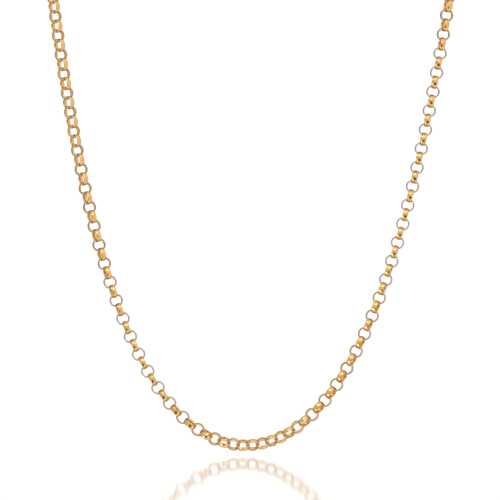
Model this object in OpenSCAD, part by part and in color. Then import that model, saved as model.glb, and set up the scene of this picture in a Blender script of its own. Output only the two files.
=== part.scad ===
// Rolo chain necklace, hung as it is worn. Millimetres.
// A closed loop of round band links, each square to the next, ends in a spring-ring clasp at the nape.
// X runs across the neck, -Y faces the front, Z is up. The origin is the middle of the clasp at the nape.

/* [Link] */
// Outside diameter of a link
link_d = 3.55; // [3.2:0.05:6]
// Width of a link's band, along the ring's axis
band_w = 1.3; // [0.8:0.01:1.4]
// Thickness of a link's band at its middle
band_t = 0.4; // [0.26:0.01:0.44]
// Thickness that is left at the band's two rims
rim_t = 0.12; // [0.04:0.01:0.2]
// Height of the dome on the outside of a band
dome = 0.09; // [0:0.01:0.15]
// Clearance between neighbouring links, beyond what a bend takes
link_gap = 0.16; // [0.12:0.01:0.3]

/* [Front of the loop] */
// Length of chain that hangs in front, from shoulder to shoulder
front_len = 280.4; // [240:0.1:300]
// Radius of the hanging curve at its lowest point
bottom_r = 19.8; // [18:0.1:26]
// How far the links in front lie towards +X from an even spacing
front_slide = 0.88; // [0:0.01:1.2]

/* [Back of the loop] */
// Radius of the bend over each shoulder
shoulder_r = 21; // [18:0.5:28]
// Angle at which the back of the loop climbs to the nape
nape_rise = 20; // [0:1:35]

/* [Clasp] */
// Outside diameter of the clasp's ring
clasp_d = 6; // [5:0.1:8]
// Diameter of the tube that the ring is bent from
clasp_tube = 1.1; // [0.9:0.05:1.3]
// Diameter of the eyelet's wire
eye_wire = 0.6; // [0.5:0.05:0.8]
// Clearance between an end link and the clasp
clasp_gap = 0.2; // [0.15:0.01:0.3]
// Diameter of the thumb knob
knob_d = 0.7; // [0.5:0.05:0.9]
// Height of the thumb knob above the tube
knob_h = 0.9; // [0.5:0.05:1.4]
// Angle round the ring from the chain to the thumb knob
knob_angle = 50; // [30:1:80]

/* [Hidden] */

// Roll of the links about the chain, along the front from -X to +X. Columns: place as a share of half the
// front's length, roll of the even links in degrees (0 faces the front), and how far the odd links stand off square.
front_roll = [
    [-1.00, -43,  0],
    [-0.80, -37,  0],
    [-0.76, -42,  0],
    [-0.68, -39,  0],
    [-0.64, -29,  0],
    [-0.60, -28,  0],
    [-0.47, -20,  0],
    [-0.40, -12,  0],
    [-0.27,  -4,  0],
    [-0.12,  13,  0],
    [-0.06,  26,  0],
    [ 0.00,  41,  0],
    [ 0.04,  47, -4],
    [ 0.09,  54, -8],
    [ 0.11,  59, -8],
    [ 0.15,  65,  6],
    [ 0.21,  67,  6],
    [ 0.25,  69, -3],
    [ 0.30,  74,  0],
    [ 0.38,  75,  0],
    [ 0.48,  82,  0],
    [ 0.56,  87,  0],
    [ 0.61,  94,  0],
    [ 0.86,  96,  0],
    [ 0.90, 105,  0],
    [ 1.00, 116,  0]
];

// Facets round a link and round the clasp's tube
link_fn = 48;
tube_fn = 48;

across = [1, 0, 0];
back = [0, 1, 0];
up = [0, 0, 1];

// Band of a link, domed outside and more so inside: radii at its middle and at its rims
link_r = link_d / 2;
hole_r = link_r - band_t;
rim_r = link_r - dome;
rim_hole_r = rim_r - rim_t;

// Clasp: the ring takes one end link and the eyelet the other, each against its inner wall
ring_hole_r = clasp_d / 2 - clasp_tube;
eye_hole_r = band_w / 2 + band_t + clasp_gap / 2;
ring_to_link = ring_hole_r + hole_r - clasp_gap;
eye_to_link = eye_hole_r + hole_r - clasp_gap;
eye_to_ring = clasp_d / 2 + eye_wire / 2 + eye_hole_r;
clasp_span = ring_to_link + eye_to_ring + eye_to_link;
ring_x = (clasp_span - 2 * ring_to_link) / 2;

// Spacing of two links that touch, at the middle of their bands or where their rims cross
touch_mid = 2 * hole_r;
touch_rim = 2 * sqrt(pow(rim_hole_r, 2) - pow(band_w / 2, 2));
// A bend leans that crossing in by its distance from the middle times the angle of one step
bend_take = norm([band_w, band_w]) / 2 * touch_mid / min(bottom_r, shoulder_r);
max_pitch = min(touch_mid, touch_rim - bend_take) - link_gap;

// Front: a hanging curve, measured along the chain from its lowest point
front_half = front_len / 2;
function reach(s) = norm([bottom_r, s]);
function front_dir(s) = (across * bottom_r + up * s) / reach(s);
function front_point(s) =
    [bottom_r * ln((s + reach(s)) / bottom_r), 0, reach(s) - bottom_r];
function front_at(s) = [front_point(s), front_dir(s), -back];

// Shoulder: an arc from the hanging strand towards the back
strand_top = front_point(front_half);
strand_dir = front_dir(front_half);
shoulder_turn = 90 - nape_rise;
shoulder_len = arc_len(shoulder_r, shoulder_turn);
function arc_len(r, angle) = r * angle * PI / 180;
function arc_angle(r, len) = len / r * 180 / PI;
function shoulder_at(s) =
    let (turn = arc_angle(shoulder_r, s))
    [
        strand_top + shoulder_r * (sin(turn) * strand_dir + (1 - cos(turn)) * back),
        cos(turn) * strand_dir + sin(turn) * back,
        sin(turn) * strand_dir - cos(turn) * back
    ];

// Nape: an arc in a plane through X, up to the clasp in the middle
shoulder_end = shoulder_at(shoulder_len);
nape_start = shoulder_end[0];
nape_dir = shoulder_end[1];
spread = asin(nape_dir.x);
nape_depth = (nape_dir - nape_dir.x * across) / cos(spread);
nape_normal = cross(across, nape_depth);
nape_out = cos(spread) * across - sin(spread) * nape_depth;
nape_r = (nape_start.x - clasp_span / 2) / cos(spread);
nape_turn = 90 + spread;
nape_centre = nape_start - nape_r * nape_out;
nape_len = arc_len(nape_r, nape_turn);
lean_up = shoulder_end[2] * nape_normal;
lean_out = shoulder_end[2] * nape_out;
function nape_at(s) =
    let (turn = arc_angle(nape_r, s), out = cos(turn) * nape_out + sin(turn) * nape_dir)
    [
        nape_centre + nape_r * out,
        cos(turn) * nape_dir - sin(turn) * nape_out,
        lean_up * nape_normal + lean_out * out
    ];

// Half the loop, from the lowest point to the link in the clasp: centre, direction, carried normal
half_len = front_half + shoulder_len + nape_len;
function half_at(s) =
    s < front_half ? front_at(s)
    : s < front_half + shoulder_len ? shoulder_at(s - front_half)
    : nape_at(s - front_half - shoulder_len);
function mirrored(v) = [-v.x, v.y, v.z];
function loop_at(s) =
    let (h = half_at(abs(s)))
    s < 0 ? [mirrored(h[0]), -mirrored(h[1]), mirrored(h[2])] : h;

// Links: half of them on each side of the lowest point
half_links = ceil(half_len / max_pitch + 0.5);
pitch = half_len / (half_links - 0.5);
front_links = floor(front_half / pitch + 0.5);
// Place of link k along the loop: the hidden stretch takes up the slide of the front
function place(k) =
    let (s = (k + 0.5) * pitch)
    s + front_slide * min(1, (half_len - abs(s)) / (half_len - front_half));
origin = nape_centre + nape_r * nape_depth - clasp_span / 2 * across;

// The end links stand square to the clasp's ring, whichever of the two turns comes last
carried_lean = atan2(lean_out, lean_up);
odd = half_links % 2;
end_place = half_len / front_half;
all_roll = concat(
    [[-end_place, (odd ? -90 : 0) - carried_lean, 0]],
    front_roll,
    [[end_place, (odd ? 180 : 90) - carried_lean, 0]]
);
function column(c) = [for (row = all_roll) [row[0], row[c]]];
function roll_at(k) =
    let (p = place(k) / front_half)
    lookup(p, column(1)) + (k % 2 == 0 ? 0 : 90 + lookup(p, column(2)));

clasp_tilt = atan2(nape_depth.z, nape_depth.y) - 90;

// Six-sided section of a band, at its distance from the ring's axis along X
module band_section() {
    half_w = band_w / 2;
    polygon([
        [rim_r, -half_w],
        [link_r, 0],
        [rim_r, half_w],
        [rim_hole_r, half_w],
        [hole_r, 0],
        [rim_hole_r, -half_w]
    ]);
}

module link() {
    rotate_extrude($fn = link_fn) band_section();
}

// Link number k, counted along the loop from the lowest point
module placed_link(k) {
    at = loop_at(place(k));
    roll = roll_at(k);
    along = at[1];
    axis = cos(roll) * at[2] + sin(roll) * cross(along, at[2]);
    side = cross(axis, along);
    spot = at[0] - origin;
    multmatrix([
        [along.x, side.x, axis.x, spot.x],
        [along.y, side.y, axis.y, spot.y],
        [along.z, side.z, axis.z, spot.z],
        [0, 0, 0, 1]
    ]) link();
}

module chain_front() {
    color("goldenrod") for (k = [-front_links : front_links - 1]) placed_link(k);
}

module chain_back() {
    color("darkgoldenrod") {
        for (k = [-half_links : -front_links - 1]) placed_link(k);
        for (k = [front_links : half_links - 1]) placed_link(k);
    }
}

module wire_ring(hole_r, wire_d) {
    rotate_extrude($fn = tube_fn) translate([hole_r + wire_d / 2, 0]) circle(d = wire_d, $fn = tube_fn);
}

module clasp() {
    color("gold") rotate([clasp_tilt, 0, 0]) {
        translate([ring_x, 0, 0]) {
            wire_ring(ring_hole_r, clasp_tube);
            rotate([0, 90, knob_angle]) translate([0, 0, clasp_d / 2 - clasp_tube / 2])
                cylinder(d = knob_d, h = clasp_tube / 2 + knob_h, $fn = tube_fn);
        }
        translate([ring_x - eye_to_ring, 0, 0]) wire_ring(eye_hole_r, eye_wire);
    }
}

chain_front();
chain_back();
clasp();
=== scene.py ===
import math
import random

import bmesh
import bpy
import numpy
from mathutils import Matrix, Vector
from mathutils.kdtree import KDTree


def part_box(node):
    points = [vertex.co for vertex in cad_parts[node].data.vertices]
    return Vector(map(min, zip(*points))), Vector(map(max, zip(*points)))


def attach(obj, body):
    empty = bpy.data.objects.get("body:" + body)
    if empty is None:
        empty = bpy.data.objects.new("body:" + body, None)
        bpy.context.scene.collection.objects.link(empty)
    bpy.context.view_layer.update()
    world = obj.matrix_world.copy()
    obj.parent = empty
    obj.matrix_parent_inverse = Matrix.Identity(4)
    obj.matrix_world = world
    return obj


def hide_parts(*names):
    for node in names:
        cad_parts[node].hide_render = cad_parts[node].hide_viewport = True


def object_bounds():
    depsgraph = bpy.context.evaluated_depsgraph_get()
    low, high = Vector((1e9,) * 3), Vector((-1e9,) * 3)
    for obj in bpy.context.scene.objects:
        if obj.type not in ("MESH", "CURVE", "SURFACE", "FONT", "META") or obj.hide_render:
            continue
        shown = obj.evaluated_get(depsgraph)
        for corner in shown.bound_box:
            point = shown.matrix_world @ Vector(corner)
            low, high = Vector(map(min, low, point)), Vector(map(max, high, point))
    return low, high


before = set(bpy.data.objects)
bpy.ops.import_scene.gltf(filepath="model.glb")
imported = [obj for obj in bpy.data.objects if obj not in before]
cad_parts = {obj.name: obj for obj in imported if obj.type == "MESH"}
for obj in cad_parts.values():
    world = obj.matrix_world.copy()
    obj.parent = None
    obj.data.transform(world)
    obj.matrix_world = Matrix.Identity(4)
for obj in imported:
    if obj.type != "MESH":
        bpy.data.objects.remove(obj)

cad_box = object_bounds()

# Chain: equal round links, each square to the next. A link is a short length of half-soft gold strip,
# domed outside and in, rolled into a ring round its neighbours, closed with solder and tumbled bright.
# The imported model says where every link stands, so a link is spun here and put in each of those places.
mm = 0.001
weld = 0.002 * mm

# Section of the strip: each corner's distance from the ring's axis and its place along it, in mm,
# before subdivision rounds it
strip_corners = ((1.8, 0), (1.72, 0.68), (1.45, 0.68), (1.28, 0), (1.45, -0.68), (1.72, -0.68))
strip_middle = 1.575 * mm
spin_steps = 9
rounding_levels = 2

bright_gold = (0.96, 0.59, 0.2, 1)
deep_gold = (0.97, 0.5, 0.065, 1)
# Dull grey painted on the rims as painted shade
rim_shade_gold = (0.66, 0.58, 0.45, 1)
# Paler gold inside the ring's ends: partly real rubbing, partly painted light
rub_and_lift_gold = (1.0, 0.72, 0.24, 1)

# Grain of the finish, and how far round the ring the soldered seam lies, in turns
dents_per_metre = 900.0
wear_per_metre = 500.0
hairs_round_ring = 9.0
hairs_round_strip = 110.0
seam_at = 0.25


def hanging_together(first, left):
    """A face and all faces that hang together with it, which are taken out of those left."""
    left.remove(first)
    reached = [first]
    for face in reached:
        for near in [other for edge in face.edges for other in edge.link_faces]:
            if near in left:
                left.remove(near)
                reached.append(near)
    return reached


def middle_and_axis(faces):
    """A ring's middle and its axis, along which its surface spreads least."""
    spots = numpy.array([face.calc_center_median() for face in faces])
    areas = numpy.array([face.calc_area() for face in faces])
    middle = areas @ spots / areas.sum()
    spread = (spots - middle).T * areas @ (spots - middle)
    return Vector(middle), Vector(numpy.linalg.eigh(spread)[1][:, 0])


def links_of(node):
    """Middle and axis of every link in a packed stretch of chain, in the order of its mesh."""
    solid = bmesh.new()
    solid.from_mesh(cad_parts[node].data)
    bmesh.ops.remove_doubles(solid, verts=solid.verts, dist=weld)
    left = set(solid.faces)
    found = [middle_and_axis(hanging_together(face, left)) for face in solid.faces if face in left]
    solid.free()
    return found


links = {node: links_of(node) for node in ("chain_front", "chain_back")}
middles = [middle for found in links.values() for middle, axis in found]
neighbours = KDTree(len(middles))
for number, middle in enumerate(middles):
    neighbours.insert(middle, number)
neighbours.balance()


def stand(middle, axis):
    """Matrix that stands a link at its place: X runs along the chain and Z along the link's own axis."""
    nearest, second = [spot for spot, number, distance in neighbours.find_n(middle, 3)[1:]]
    along = second - nearest
    along = (along - along.project(axis)).normalized()
    turned = Matrix((along, axis.cross(along), axis)).transposed().to_4x4()
    return Matrix.Translation(middle) @ turned


def kept(corners):
    """Share of a polygon's radius that is left once subdivision has rounded it."""
    return (2 + math.cos(math.tau / corners)) / 3


def turns(spot):
    """How far round the ring and round the strip a spot lies, in full turns."""
    out = math.hypot(spot.x, spot.y) - strip_middle / kept(spin_steps)
    return (math.atan2(spot.y, spot.x) / math.tau, math.atan2(spot.z, out) / math.tau)


def turn_near(turn, wanted):
    """The same turn, counted so that it lies within half a turn of the wanted one."""
    return turn - round(turn - wanted)


def strip_link():
    """One link about the Z axis, with a UV map: U goes round the ring and V round the strip."""
    bm = bmesh.new()
    corners = [bm.verts.new((out * mm / kept(spin_steps), 0, z * mm)) for out, z in strip_corners]
    edges = [bm.edges.new((corners[i - 1], corners[i])) for i in range(len(corners))]
    bmesh.ops.spin(bm, geom=corners + edges, cent=(0, 0, 0), axis=(0, 0, 1), dvec=(0, 0, 0),
                   angle=math.tau, steps=spin_steps, use_merge=True)
    bmesh.ops.remove_doubles(bm, verts=bm.verts, dist=weld)
    bmesh.ops.recalc_face_normals(bm, faces=bm.faces)
    uv = bm.loops.layers.uv.new("strip")
    for face in bm.faces:
        face.smooth = True
        middle = face.calc_center_median()
        for loop in face.loops:
            loop[uv].uv = [turn_near(*pair) for pair in zip(turns(loop.vert.co), turns(middle))]
    shape = bpy.data.meshes.new("link")
    bm.to_mesh(shape)
    bm.free()
    return shape


class Wire:
    """One output in a shader. Arithmetic on it adds Math nodes, and node() adds any other kind."""

    def __init__(self, tree, socket=None):
        self.tree = tree
        self.socket = socket

    def node(self, kind, settings=None, inputs=None, out=0):
        made = self.tree.nodes.new(kind)
        for name, value in (settings or {}).items():
            setattr(made, name, value)
        for name, value in (inputs or {}).items():
            if isinstance(value, Wire):
                self.tree.links.new(value.socket, made.inputs[name])
            else:
                made.inputs[name].default_value = value
        return Wire(self.tree, made.outputs[out])

    def math(self, operation, *values):
        return self.node("ShaderNodeMath", {"operation": operation}, dict(enumerate(values)))

    def __add__(self, other):
        return self.math("ADD", self, other)

    def __radd__(self, other):
        return self.math("ADD", other, self)

    def __sub__(self, other):
        return self.math("SUBTRACT", self, other)

    def __rsub__(self, other):
        return self.math("SUBTRACT", other, self)

    def __mul__(self, other):
        return self.math("MULTIPLY", self, other)

    def __rmul__(self, other):
        return self.math("MULTIPLY", other, self)

    def __abs__(self):
        return self.math("ABSOLUTE", self)

    def sine(self):
        return self.math("SINE", self)

    def cosine(self):
        return self.math("COSINE", self)

    def step(self, low, high):
        """0 at low and 1 at high, smooth between and level beyond."""
        return self.node("ShaderNodeMapRange", {"interpolation_type": "SMOOTHSTEP"},
                         {"Value": self, "From Min": low, "From Max": high})

    def parts(self):
        """X, Y and Z of a vector."""
        split = self.node("ShaderNodeSeparateXYZ", inputs={0: self})
        return [Wire(self.tree, part) for part in split.socket.node.outputs]

    def feed(self, shader, name):
        """Drives one of a shader's sockets."""
        self.tree.links.new(self.socket, shader.inputs[name])


def mixed(share, first, second):
    """Colour between two colours, by share."""
    return share.node("ShaderNodeMix", {"data_type": "RGBA"}, {0: share, 6: first, 7: second}, out=2)


def noise(place, scale, detail):
    """Soft noise over a place on the piece, or over its map."""
    return place.node("ShaderNodeTexNoise", inputs={"Vector": place, "Scale": scale, "Detail": detail})


def normal_of(height):
    """Normal of a surface that has this height, in millimetres."""
    return height.node("ShaderNodeBump", inputs={"Height": height, "Strength": 1.0, "Distance": mm})


def new_finish(name):
    """A material, its shader, and a wire from which its nodes start."""
    finish = bpy.data.materials.new(name)
    finish.use_nodes = True
    return finish, finish.node_tree.nodes["Principled BSDF"], Wire(finish.node_tree)


def chain_gold():
    """Gold of the links. The strip's own UV map tells round the ring (U) from round the strip (V)."""
    finish, shader, start = new_finish("chain_gold")
    place = start.node("ShaderNodeTexCoord", out="Object")
    strip = start.node("ShaderNodeUVMap", {"uv_map": "strip"})
    round_ring, round_strip = strip.parts()[:2]
    tone = start.node("ShaderNodeAttribute", {"attribute_name": "tone"}, out="Fac")

    # The inside of the ring at its two ends, where neighbours rub and overlap, is painted a paler gold:
    # partly real rubbing, partly painted light that lifts the shade there
    inside = (round_strip * math.tau).cosine().step(0.0, -0.8)
    ends = (round_ring * (2 * math.tau)).cosine().step(0.3, 0.95)
    rub_and_lift = inside * ends
    # The rims are painted a dull grey, a painted shade that stands in for the dark reflections on the
    # rims, less so at the ring's two ends
    rims = abs((round_strip * math.tau).sine()).step(0.74, 0.94)
    rim_shade = rims * (1 - ends * 0.85) * 0.9
    # The strip's ends are soldered half way along one side
    seam = 1 - abs(round_ring - seam_at).step(0.002, 0.007)

    # Soft dents from the drum, cloudy wear, and hair scratches that run round the ring
    dents = noise(place, dents_per_metre, 1.0)
    worn = noise(place, wear_per_metre, 3.0)
    hair_run = strip.node("ShaderNodeMapping",
                          inputs={"Vector": strip, "Scale": (hairs_round_ring, hairs_round_strip, 1.0)})
    hair = noise(hair_run, 1.0, 3.0)

    # Deeper gold from cloudy wear and each link's own tone, and painted shade at the ring's two ends,
    # where the neighbours cross it
    wear_tone_and_end_shade = worn.step(0.45, 0.7) * 0.3 + tone * 0.15 + ends * 0.2
    gold_under_rim_shade = mixed(rub_and_lift, mixed(wear_tone_and_end_shade, bright_gold, deep_gold), rub_and_lift_gold)
    mixed(rim_shade, gold_under_rim_shade, rim_shade_gold).feed(shader, "Base Color")
    (0.13 + hair.step(0.5, 0.75) * 0.12 + seam * 0.2 - rub_and_lift * 0.05).feed(shader, "Roughness")
    normal_of(dents * 0.05 + hair * 0.002 + seam * 0.012).feed(shader, "Normal")
    shader.inputs["Metallic"].default_value = 1.0
    shader.inputs["Coat Weight"].default_value = 0.25
    shader.inputs["Coat Roughness"].default_value = 0.1
    return finish


link = strip_link()
link_finish = chain_gold()
chance = random.Random(14)


def chain(name):
    """A stretch of chain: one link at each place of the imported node, with a slight tone of its own."""
    bm = bmesh.new()
    tone = bm.faces.layers.float.new("tone")
    for place in links[name]:
        placed = link.copy()
        placed.transform(stand(*place))
        before = len(bm.faces)
        bm.from_mesh(placed)
        bpy.data.meshes.remove(placed)
        bm.faces.ensure_lookup_table()
        link_tone = chance.random()
        for face in bm.faces[before:]:
            face[tone] = link_tone
    bmesh.ops.recalc_face_normals(bm, faces=bm.faces)
    shape = bpy.data.meshes.new(name + "_links")
    bm.to_mesh(shape)
    bm.free()
    shape.materials.append(link_finish)
    piece = bpy.data.objects.new(name + "_links", shape)
    bpy.context.scene.collection.objects.link(piece)
    rounded = piece.modifiers.new("rounded", "SUBSURF")
    rounded.levels = rounded.render_levels = rounding_levels
    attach(piece, "root")
    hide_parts(name)


for name in links:
    chain(name)

# Clasp: a spring ring of gold tube, closed with a thumb knob, and a wire eyelet soldered to its back. The
# tube is drawn and polished, so its hair lines are short, and the solder at the eyelet is duller. The
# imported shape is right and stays, so the clasp only gets its gold.
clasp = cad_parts["clasp"]
clasp_ring_across = 6.0 * mm
solder_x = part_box("clasp")[1].x - clasp_ring_across
tube_gold = (0.95, 0.61, 0.2, 1)
clouds_per_metre = 700.0
hairs_per_metre = 9000.0


def clasp_gold():
    """Gold of the clasp, with dull solder where the eyelet meets the ring."""
    finish, shader, start = new_finish("clasp_gold")
    place = start.node("ShaderNodeTexCoord", out="Object")
    across = place.parts()[0]
    solder = 1 - abs(across - solder_x).step(0.15 * mm, 0.5 * mm)
    cloudy = noise(place, clouds_per_metre, 3.0)
    hair = noise(place, hairs_per_metre, 2.0)
    mixed(cloudy.step(0.4, 0.7) * 0.4 + solder * 0.3, tube_gold, deep_gold).feed(shader, "Base Color")
    (0.14 + hair.step(0.45, 0.7) * 0.08 + solder * 0.22).feed(shader, "Roughness")
    normal_of(cloudy * 0.03 + solder * cloudy * 0.06 + hair * 0.002).feed(shader, "Normal")
    shader.inputs["Metallic"].default_value = 1.0
    return finish


clasp.data.materials.clear()
clasp.data.materials.append(clasp_gold())

# Floor: a sheet of white acrylic that is lit from below. It lies just under the lowest links and shows
# them faintly upside down. The gold doesn't mirror the sheet, because the tent stands in for it.
floor_drop = 0.85 * mm
floor_z = cad_box[0].z - floor_drop
floor_reach = 1500 * mm
gloss_share = 0.54

bm = bmesh.new()
bmesh.ops.create_grid(bm, x_segments=1, y_segments=1, size=floor_reach)
bmesh.ops.translate(bm, verts=bm.verts, vec=(0, 0, floor_z))
shape = bpy.data.meshes.new("floor")
bm.to_mesh(shape)
bm.free()
floor = bpy.data.objects.new("floor", shape)
bpy.context.scene.collection.objects.link(floor)
floor.visible_glossy = False

acrylic = bpy.data.materials.new("white_acrylic")
acrylic.use_nodes = True
sheet = Wire(acrylic.node_tree)
glow = sheet.node("ShaderNodeEmission", inputs={"Color": (1, 1, 1, 1), "Strength": 1.13})
gloss = sheet.node("ShaderNodeBsdfGlossy", inputs={"Color": (1, 0.975, 0.89, 1), "Roughness": 0.05})
both = sheet.node("ShaderNodeMixShader", inputs={0: gloss_share, 1: glow, 2: gloss})
both.feed(acrylic.node_tree.nodes["Material Output"], "Surface")
shape.materials.append(acrylic)

# Light: a pale tent round the chain, brighter above and on the right and dimmer behind. It holds a dark
# card low in front, a small lamp low on the left and a white board far behind, and a softbox stands high
# in front. The gold mirrors all that, while the camera itself sees the tent as plain white.
board_glow = 1.02
lamp_glow = 1.8
seen_glow = 1.1

studio = bpy.data.worlds.new("studio")
bpy.context.scene.world = studio
studio.use_nodes = True
background = studio.node_tree.nodes["Background"]
background.inputs["Color"].default_value = (1, 1, 1, 1)
sky = Wire(studio.node_tree)
right, behind, above = sky.node("ShaderNodeTexCoord", out="Generated").parts()
ahead = 0 - behind
below = 0 - above
low_card = below.step(0.1, 0.3) * (1 - below.step(0.7, 0.9))
low_card = low_card * (1 - abs(right).step(0.2, 0.4)) * ahead.step(0.25, 0.45)
low_lamp = (right * -0.66 + ahead * 0.42 + below * 0.62).step(0.95, 0.98)
board = behind.step(0.985, 0.995)
sides = 0.65 + right.step(-0.7, 0.7) * 0.19 + abs(above).step(0.5, 1.0) * 0.13
tent = sides - behind.step(0.0, 0.8) * 0.36 - low_card * sides * 0.9
mirrored = tent + board * (board_glow - tent) + low_lamp * lamp_glow
seen = sky.node("ShaderNodeLightPath", out="Is Camera Ray")
(mirrored + seen * (seen_glow - mirrored)).feed(background, "Strength")

front_low, front_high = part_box("chain_front")
chain_y = (front_low.y + front_high.y) / 2
middle_of_front = Vector((0, chain_y, -100 * mm))
softbox_side = Vector((-0.1, -0.7, 0.72)).normalized()
softbox_distance = 600 * mm

light = bpy.data.lights.new("front_softbox", "AREA")
light.shape = "RECTANGLE"
light.size = 600 * mm
light.size_y = 250 * mm
light.energy = 0.5
softbox = bpy.data.objects.new("front_softbox", light)
bpy.context.scene.collection.objects.link(softbox)
softbox.location = middle_of_front + softbox_side * softbox_distance
softbox.rotation_euler = softbox_side.to_track_quat("Z", "Y").to_euler()

# Camera: straight in front and level with the middle of the picture, with a long lens and a slight tilt
# to the left. The picture is 500 pixels across, and the links' spacing gives a pixel's size at the chain.
sensor = 36 * mm
lens = 300 * mm
picture_pixels = 500
pixel = 0.2619 * mm
frame_width = picture_pixels * pixel
frame_middle = Vector((0.71 * mm, chain_y, -108.11 * mm))
tilt = math.radians(-0.8)

camera = bpy.data.objects.new("camera", bpy.data.cameras.new("camera"))
bpy.context.scene.collection.objects.link(camera)
camera.data.lens = lens / mm
camera.data.sensor_width = sensor / mm
camera.data.clip_start = 10 * mm
camera.location = frame_middle - Vector((0, frame_width * lens / sensor, 0))
camera.rotation_euler = (Matrix.Rotation(tilt, 3, "Y") @ Matrix.Rotation(math.pi / 2, 3, "X")).to_euler()
bpy.context.scene.camera = camera
bpy.context.scene.view_settings.view_transform = "Standard"
